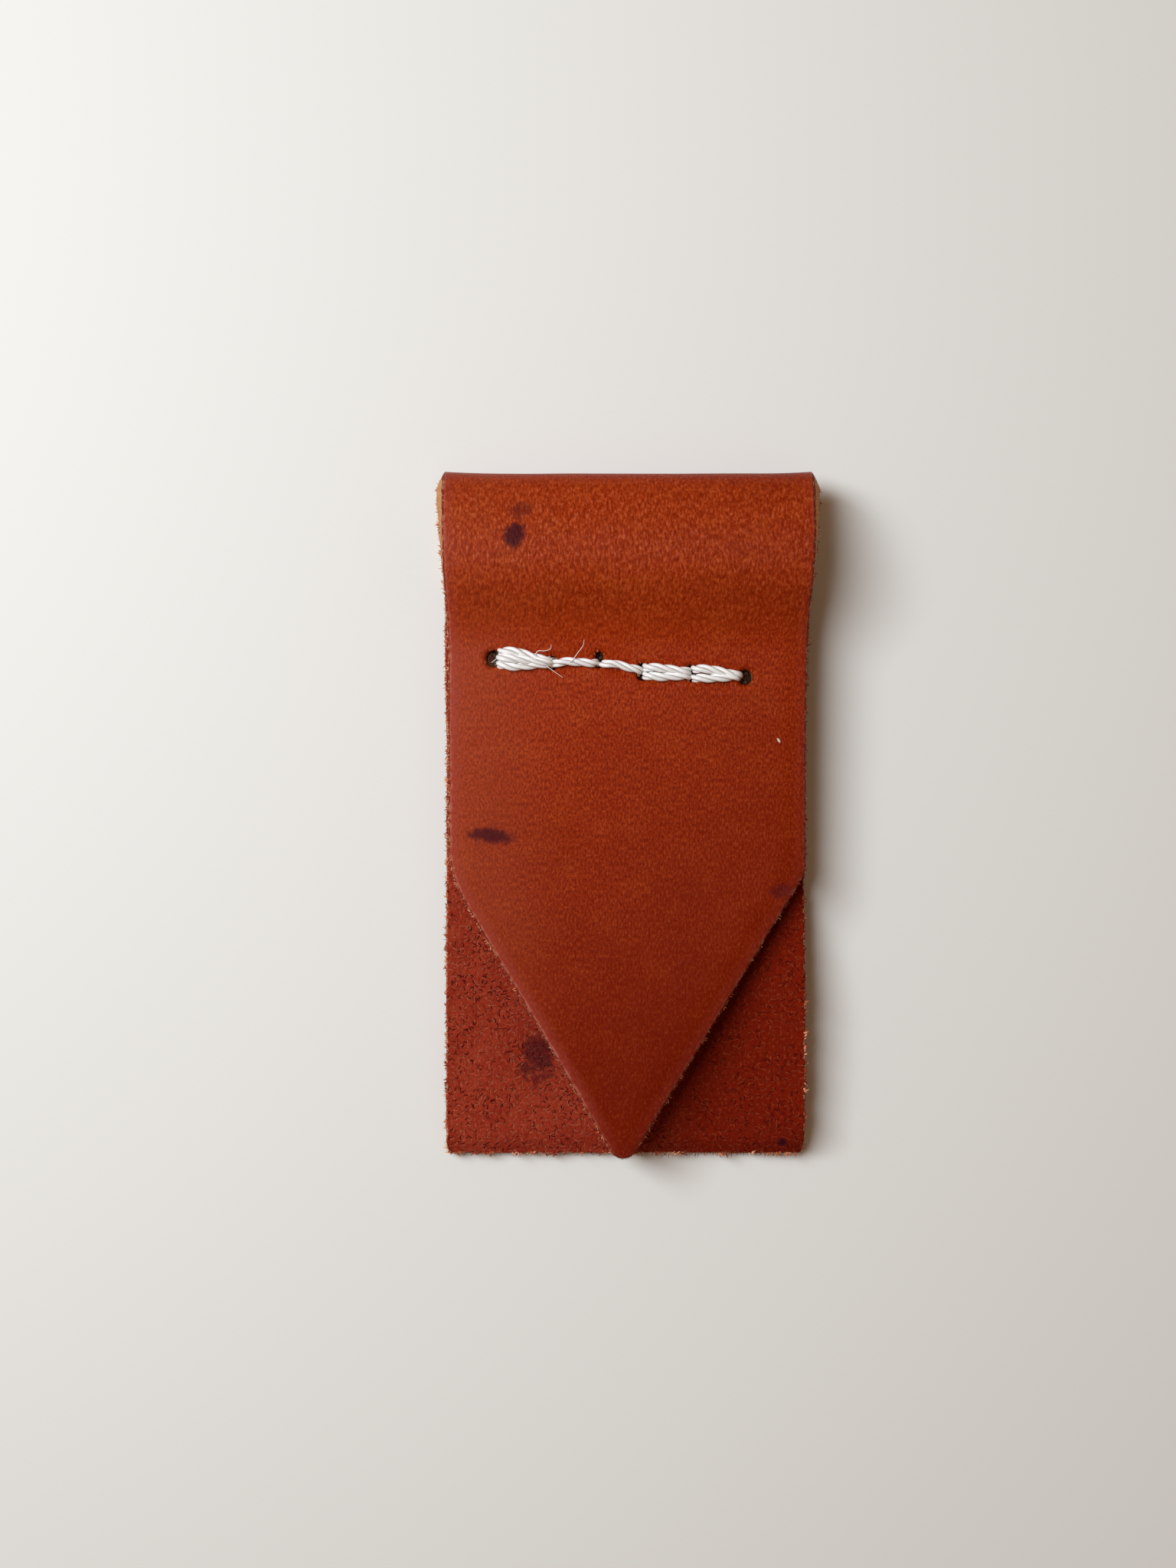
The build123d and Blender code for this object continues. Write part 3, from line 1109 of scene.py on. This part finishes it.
# Loose filaments, by the stitch that they belong to: points (x, y, height over the grain)
FILAMENTS = {
    0: [
        [
            (-7.5, 12.75, 0.25),
            (-7.2, 13.42, 0.35),
            (-6.6, 13.45, 0.42),
            (-6.15, 13.62, 0.5),
            (-6.08, 13.95, 0.55),
        ],
        [(-6.6, 12.5, 0.3), (-6.3, 12.1, 0.4), (-5.8, 11.75, 0.4), (-5.15, 11.29, 0.35)],
        [(-10.2, 12.95, 0.3), (-10.45, 12.85, 0.45), (-10.95, 12.5, 0.35)],
    ],
    1: [
        [
            (-4.7, 12.4, 0.5),
            (-4.3, 12.75, 0.75),
            (-3.9, 13.3, 0.9),
            (-3.5, 13.85, 0.95),
            (-3.41, 14.35, 0.9),
        ],
        [(-6.3, 12.6, 0.45), (-6.0, 12.85, 0.6), (-5.6, 12.8, 0.5)],
    ],
}


def filament(points):
    """A thin loose fibre of the thread, in the same form as a strand."""
    line = evenly(spline(points), FILAMENT_STEP) + (0, 0, SEAM_TOP)
    radius = FILAMENT_RADIUS * np.linspace(1, FILAMENT_END, len(line))
    vertices, faces = swept(line, frames_along(line), radius, radius, FILAMENT_SIDES)
    along = np.repeat(np.arange(len(line)) * FILAMENT_STEP, FILAMENT_SIDES)
    return vertices, faces, np.stack([along, along * 0, along * 0], 1)


SINK = 0.02  # how far a stitch's surface lies under the leather's flat surface
PHASE_STEP = 2.1  # between strands that share a stitch
SLOT_SHIFT = 0.33  # of the two passes in a slot, from its middle
SLOT_ENDS = (1.2, 1.5)  # how far they stay from the back's and the front's surface
SLOT_THICKNESS = 0.85


def make_stitches(material):
    sides = [
        ("front", FRONT_STRANDS, FRONT_THICKNESS, SEAM_TOP - SINK, 1, 0.9),
        ("back", BACK_STRANDS, [0.9] * 5, SEAM_BOTTOM + SINK, -1, 0.8),
    ]
    for side, bows, thickness, surface, up, flatten in sides:
        for index, (start, end) in enumerate(zip(SLOTS, SLOTS[1:])):
            strands = []
            for k, bow in enumerate(bows[index]):
                line = stitch_line(start, end, TURN_INS[index], bow, surface, up)
                phase = PHASES[index] + PHASE_STEP * k
                strands.append(strand(line, phase, thickness[index], flatten))
            if side == "front":
                strands += [filament(points) for points in FILAMENTS.get(index, [])]
            thread_piece(f"{side}_stitch_{index + 1}", strands, material)
    heights = np.linspace(SEAM_BOTTOM + SLOT_ENDS[0], SEAM_TOP - SLOT_ENDS[1], 8)
    for index, centre in enumerate(SLOTS):
        strands = []
        for shift in (-SLOT_SHIFT, SLOT_SHIFT):
            line = np.array([(centre[0], centre[1] + shift, z) for z in heights])
            strands.append(strand(line, index + shift, SLOT_THICKNESS))
        thread_piece(f"slot_thread_{index + 1}", strands, material)


# ---- materials

# Colours laid over each other on the grain side
GRAIN_RED = (0.345, 0.0295, 0.0035)
# the deeper dye towards the point, and painted shade to the right
GRAIN_DEEP_DYE_AND_SHADE = (0.15, 0.0075, 0.0008)
GRAIN_ORANGE = (0.43, 0.075, 0.010)
# dark specks of the fine grain, and painted shade in the relief's valleys and at the very edge
GRAIN_DARK_AND_SHADE = (0.15, 0.008, 0.001)
# pale specks of the fine grain, and painted sheen on the relief's crests
GRAIN_FLECK_AND_SHEEN = (0.50, 0.085, 0.018)
# painted glints on the loop
LOOP_PAINTED_GLINT = (0.62, 0.155, 0.07)
# painted sheen towards the left side
LEFT_PAINTED_SHEEN = (0.36, 0.075, 0.034)
# painted sheen along the rim
RIM_PAINTED_SHEEN = (0.33, 0.05, 0.034)
# a painted highlight line along the rim
RIM_PAINTED_HIGHLIGHT = (0.46, 0.14, 0.10)
RIM_WORN = (0.70, 0.38, 0.20)
PALE_FLECK = (0.75, 0.62, 0.5)
WINE = (0.05, 0.006, 0.010)
# Stains on the grain of the front: place (x, y), half sizes, tilt and depth of colour
STAINS = [
    ((-9.0, 22.65), (0.95, 1.3), -0.5, 0.92),
    ((-8.5, 24.7), (1.1, 0.85), 0.3, 0.45),
    ((-11.0, -1.55), (2.15, 0.68), -0.1, 0.85),
    ((12.7, -6.05), (1.1, 0.65), 0.2, 0.55),
]
# The flesh side; the pairs are its left and its right, which is painted darker as shade
FLESH_RED = (0.34, 0.030, 0.012)
FLESH_CLOUD = (0.40, 0.043, 0.018)
# painted shade on the right of the flesh side
FLESH_PAINTED_SHADE = (0.188, 0.0085, 0.001)
# painted shade in the nap's hollows
FLESH_VALLEY_SHADE = (0.13, 0.008, 0.003)
# painted sheen on the nap's crests, on the left and on the right
FLESH_CREST_SHEEN = ((0.5, 0.14, 0.09), (0.28, 0.03, 0.01))
# painted highlights on raised fibres, on the left and on the right
FLESH_FIBRE_HIGHLIGHTS = ((0.64, 0.22, 0.12), (0.48, 0.10, 0.03))
# painted shade in the pits between fibres
FLESH_PIT_SHADE = (0.06, 0.003, 0.003)
FLESH_FRAYED = (0.74, 0.42, 0.24)
# Stains on it, as above and with how ragged they are
FLESH_STAINS = [
    ((-7.3, -19.8), (1.6, 2.2), 0.0, 0.72, 1.3),
    ((13.0, -26.95), (0.42, 0.45), 0.0, 0.95, 0.6),
]
# The cut edge; the pairs are its dark and its light fibres
CUT_DYED = ((0.16, 0.014, 0.006), (0.34, 0.05, 0.02))
CUT_TAN = ((0.42, 0.15, 0.045), (0.76, 0.38, 0.17))
CUT_SKIN = (0.20, 0.02, 0.008)
# Loose fibres, from dyed to raw
HAIR_COLOURS = [(0.17, 0.014, 0.006), (0.36, 0.045, 0.02), (0.70, 0.20, 0.07), (0.95, 0.47, 0.26)]
THREAD_COLOURS = ((0.84, 0.81, 0.77), (0.95, 0.94, 0.93))
THREAD_CLOUD = (0.76, 0.67, 0.57)
# painted shade between the plies and inside the slots
THREAD_GROOVE_SHADE = (0.22, 0.155, 0.12)
TABLE_COLOUR = (0.82, 0.805, 0.765)
# Depth of the relief in millimetres, and how rough and how shiny each surface is
GRAIN_RELIEF, GRAIN_SHINE = 0.045, 0.03
FLESH_RELIEF, FLESH_ROUGHNESS, FLESH_SHINE = 0.17, 0.95, 0.04
CUT_RELIEF, CUT_ROUGHNESS, CUT_SHINE = 0.08, 0.85, 0.15
HAIR_ROUGHNESS, HAIR_SHINE = 0.8, 0.15
THREAD_RELIEF, THREAD_ROUGHNESS, THREAD_SHINE = 0.008, 0.3, 0.55
TABLE_ROUGHNESS, TABLE_SHINE = 0.7, 0.2


def grain_leather():
    nodes = Nodes("leather_grain")
    times, plus, ramp = nodes.times, nodes.plus, nodes.ramp
    strip = nodes.attribute("strip")
    from_edge = nodes.attribute("from_edge", "Fac")
    x, s, _ = nodes.parts(strip)
    loop_start, loop_end = s_on_front(15.5), S_APEX - 2.5
    on_loop = ramp(s, loop_start - 2.5, loop_start + 2.0)
    on_loop = times(on_loop, ramp(s, loop_end + 1.6, loop_end - 0.6))

    # Relief: pebbles and wrinkles, which the loop has more of, and a fine grain
    warped = nodes.warped(strip, 1.8, 0.25)
    pebble = nodes.cells(nodes.stretched(warped, (1.0, 0.6, 1)), 3.6)
    wrinkle = nodes.noise(nodes.stretched(warped, (1.0, 0.5, 1)), 4.6, 3, 0.6)
    fine = nodes.noise(nodes.stretched(strip, (1.1, 0.55, 1)), 5.6, 3, 0.7)
    coarse = plus(times(pebble, -1.1), wrinkle)
    weight = plus(times(on_loop, 0.75), 0.25)
    height = plus(times(coarse, times(weight, 1.3)), fine)

    # Colour: dye deeper towards the point, painted shade to the right and painted sheen on the
    # left, and warmer clouds elsewhere
    tip = ramp(s, s_on_front(12.0), s_on_front(-22.0), 0.0, 0.9, smooth=False)
    painted_shade_rightward = ramp(x, -14.0, 14.0, -0.22, 0.26, smooth=False)
    clouds = ramp(nodes.noise(strip, 0.16, 3, 0.55), 0.3, 0.7, 0.06, -0.06)
    shade = plus(plus(tip, painted_shade_rightward), clouds, clamp=True)
    warm = ramp(nodes.noise(strip, 0.32, 4, 0.6), 0.46, 0.7, 0, 0.22)
    warm = times(plus(warm, times(on_loop, 0.1)), nodes.maths("SUBTRACT", 1.0, shade))
    # painted glints on the loop's rise, more on its left, with painted shade between them
    painted_glint_noise = nodes.noise(nodes.stretched(strip, (1.5, 0.6, 1), (3, 0, 0)), 3.6, 3, 0.6)
    painted_glint_zone = ramp(s, s_on_front(16.5), s_on_front(21.5))
    painted_glint_zone = times(painted_glint_zone, ramp(s, S_APEX - 1.0, s_on_front(24.5)))
    painted_glint_zone = times(painted_glint_zone, ramp(x, -12.0, 14.0, 0.55, 0.35))
    # Over the dye: painted shade in the relief's valleys and painted sheen on its crests, the fine
    # grain's specks (partly painted sheen), painted glints on the loop and painted sheen on the
    # left
    colour = nodes.laid(
        nodes.mix(shade, GRAIN_RED, GRAIN_DEEP_DYE_AND_SHADE),
        (warm, GRAIN_ORANGE),
        (times(ramp(coarse, 0.12, -0.15, 0, 0.28), weight), GRAIN_DARK_AND_SHADE),
        (times(ramp(coarse, 0.06, 0.3, 0, 0.34), weight), GRAIN_FLECK_AND_SHEEN),
        (times(ramp(fine, 0.38, 0.54, 0.75, 0.0), ramp(on_loop, 0, 1, 1, 0.45)), GRAIN_DARK_AND_SHADE),
        (times(ramp(fine, 0.52, 0.66, 0.0, 0.5), ramp(shade, 0.0, 1.0, 1.0, 0.3)), GRAIN_FLECK_AND_SHEEN),
        (times(ramp(painted_glint_noise, 0.52, 0.7), painted_glint_zone), LOOP_PAINTED_GLINT),
        (times(ramp(painted_glint_noise, 0.36, 0.5, 0.5, 0.0), on_loop), GRAIN_DARK_AND_SHADE),
        (times(ramp(x, -4.0, -13.0, 0.0, 0.25), ramp(on_loop, 0, 1, 1, 0.35)), LEFT_PAINTED_SHEEN),
    )
    for place, size, tilt, depth in STAINS:
        stain = spot(nodes, strip, (place[0], s_on_front(place[1])), size, tilt)
        colour = nodes.mix(times(stain, depth), colour, WINE)

    # The rim: painted sheen and a painted highlight line, more on the left, painted shade at its
    # very edge, and worn pale patches there
    wear_and_sheen_noise = nodes.noise(strip, 2.2, 3, 0.7)
    sheen_strength = times(ramp(x, -6.0, 2.0, 1.0, 0.3), ramp(s, 1.0, 8.0, 0.3, 0.9))
    sheen_strength = times(sheen_strength, ramp(on_loop, 0, 1, 1, 0.6))
    sheen_band = times(ramp(from_edge, 1.3, 0.25), ramp(wear_and_sheen_noise, 0.3, 0.65, 0.3, 0.7))
    highlight_line = times(ramp(from_edge, 0.3, 0.16), ramp(wear_and_sheen_noise, 0.4, 0.6, 0.15, 0.85))
    colour = nodes.laid(
        colour,
        (times(sheen_band, sheen_strength), RIM_PAINTED_SHEEN),
        (times(highlight_line, sheen_strength), RIM_PAINTED_HIGHLIGHT),
        (ramp(from_edge, 0.12, 0.06, 0.0, 0.8), GRAIN_DARK_AND_SHADE),
        (times(ramp(from_edge, 0.06, 0.02), ramp(wear_and_sheen_noise, 0.5, 0.6)), RIM_WORN),
        (spot(nodes, strip, (12.4, s_on_front(6.2)), (0.1, 0.24), 0.6, 0.2), PALE_FLECK),
    )
    roughness = ramp(from_edge, 0.8, 0.3, 0.3, 0.24)
    return nodes.finish(colour, roughness, GRAIN_SHINE, nodes.bump(height, GRAIN_RELIEF))


def flesh_leather():
    nodes = Nodes("leather_flesh")
    times, ramp, mix = nodes.times, nodes.ramp, nodes.mix
    strip = nodes.attribute("strip")
    from_edge = nodes.attribute("from_edge", "Fac")
    cloud = nodes.noise(strip, 0.35, 3, 0.6)
    nap = nodes.noise(nodes.stretched(strip, (1.0, 0.85, 1)), 3.6, 4, 0.75, 0.8)
    # painted shade: the flesh gets darker to the right, with a cloudy border
    painted_shade_rightward = nodes.plus(nodes.parts(strip)[0], times(cloud, 6.0))
    painted_shade_right = ramp(painted_shade_rightward, 1.0, 9.5, 0.0, 0.95)

    # Raised fibres with painted highlights, and pits between them with painted shade
    faint = ramp(painted_shade_right, 0.0, 0.95, 1.0, 0.8)
    raised = nodes.maths(
        "MAXIMUM",
        strokes(nodes, strip, 1.7, (4, 9, 0), 0.38, 0.11),
        strokes(nodes, strip, 2.3, (1, 6, 0), 0.36, 0.11),
    )
    raised = times(raised, faint)
    pits = nodes.maths(
        "MAXIMUM",
        strokes(nodes, strip, 1.55, (0, 0, 0), 0.36, 0.1),
        strokes(nodes, strip, 2.0, (7, 3, 0), 0.4, 0.115),
    )
    clusters = ramp(nodes.noise(strip, 0.55, 2, 0.6), 0.42, 0.58, 0.35, 1.0)
    pits = times(times(pits, faint), clusters)
    # Over the flesh colour: painted shade to the right and in the nap's hollows, painted sheen on
    # its crests, painted highlights on raised fibres and painted shade in the pits
    colour = nodes.laid(
        mix(ramp(cloud, 0.35, 0.65), FLESH_RED, FLESH_CLOUD),
        (painted_shade_right, FLESH_PAINTED_SHADE),
        (ramp(nap, 0.36, 0.56, 0.28, 0.0), FLESH_VALLEY_SHADE),
        (ramp(nap, 0.54, 0.68, 0.0, 0.22), mix(painted_shade_right, *FLESH_CREST_SHEEN)),
        (times(raised, 0.42), mix(painted_shade_right, *FLESH_FIBRE_HIGHLIGHTS)),
        (times(pits, 0.88), FLESH_PIT_SHADE),
    )
    for place, size, tilt, depth, ragged in FLESH_STAINS:
        stain = spot(nodes, strip, (place[0], s_on_back(place[1])), size, tilt, ragged, 0.9)
        colour = mix(times(stain, depth), colour, WINE)
    frayed = times(ramp(from_edge, 0.14, 0.03), ramp(nap, 0.5, 0.58))
    colour = mix(frayed, colour, FLESH_FRAYED)
    height = nodes.maths("SUBTRACT", nodes.plus(nap, times(raised, 0.3)), times(pits, 0.5))
    return nodes.finish(colour, FLESH_ROUGHNESS, FLESH_SHINE, nodes.bump(height, FLESH_RELIEF))


def cut_leather():
    nodes = Nodes("leather_cut_edge")
    ramp, mix = nodes.ramp, nodes.mix
    strip = nodes.attribute("strip")
    _, s, layer = nodes.parts(strip)
    from_fold = nodes.maths("ABSOLUTE", nodes.maths("SUBTRACT", s, S_APEX))
    fibres = nodes.noise(nodes.stretched(strip, (1.2, 1.2, 6)), 3.2, 4, 0.7, 0.8)
    light = ramp(fibres, 0.35, 0.65)
    raw = ramp(from_fold, 12.0, 8.0, 0.0, 0.3, smooth=False)
    raw = nodes.plus(raw, ramp(s, s_on_front(-10), s_on_front(-5), 0, 0.1))
    raw = ramp(nodes.plus(nodes.noise(strip, 1.1, 3, 0.65), raw), 0.5, 0.68)
    colour = mix(raw, mix(light, *CUT_DYED), mix(light, *CUT_TAN))
    colour = mix(ramp(layer, 0.22, 0.1), colour, CUT_SKIN)
    return nodes.finish(colour, CUT_ROUGHNESS, CUT_SHINE, nodes.bump(fibres, CUT_RELIEF))


def fibre_leather():
    nodes = Nodes("leather_fibre")
    shade = nodes.attribute("shade", "Fac")
    dyed, red, orange, cream = HAIR_COLOURS
    colour = nodes.laid(
        dyed,
        (nodes.ramp(shade, 0.0, 0.55), red),
        (nodes.ramp(shade, 0.55, 0.8), orange),
        (nodes.ramp(shade, 0.8, 0.95), cream),
    )
    return nodes.finish(colour, HAIR_ROUGHNESS, HAIR_SHINE)


def waxed_thread():
    nodes = Nodes("waxed_thread")
    fibre = nodes.attribute("fibre")
    lines = nodes.noise(nodes.stretched(fibre, (0.9, 20, 0)), 1.0, 3, 0.6)
    cloud = nodes.noise(nodes.stretched(fibre, (1, 1, 0)), 0.9, 2, 0.5)
    colour = nodes.laid(
        nodes.mix(nodes.ramp(lines, 0.35, 0.6), *THREAD_COLOURS),
        (nodes.ramp(cloud, 0.5, 0.8, 0, 0.3), THREAD_CLOUD),
        # painted shade in the grooves and inside the leather
        (nodes.parts(fibre)[2], THREAD_GROOVE_SHADE),
    )
    return nodes.finish(colour, THREAD_ROUGHNESS, THREAD_SHINE, nodes.bump(lines, THREAD_RELIEF))


def table_top():
    return Nodes("pale_table").finish(TABLE_COLOUR, TABLE_ROUGHNESS, TABLE_SHINE)


# ---- making

TABLE_HALF = 1500


def make_table(material):
    corners = [(-1, -1, 0), (1, -1, 0), (1, 1, 0), (-1, 1, 0)]
    floor = mesh_object("table_top", np.array(corners) * TABLE_HALF, [[0, 1, 2, 3]], [material])


make_camera()
make_room()
make_window()
bpy.context.scene.view_settings.view_transform = "Standard"

make_table(table_top())
leather_skin, leather_fibres = make_leather()
leather_materials = [grain_leather(), flesh_leather(), cut_leather(), fibre_leather()]
pieces = cut_strip(leather_skin, leather_fibres, leather_materials)
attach(pieces["fold_loop_leather"], "loop")
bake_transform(pieces["front_flap_leather"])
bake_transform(pieces["back_panel_leather"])
for name, piece in pieces.items():
    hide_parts(name.removesuffix("_leather"))
make_stitches(waxed_thread())
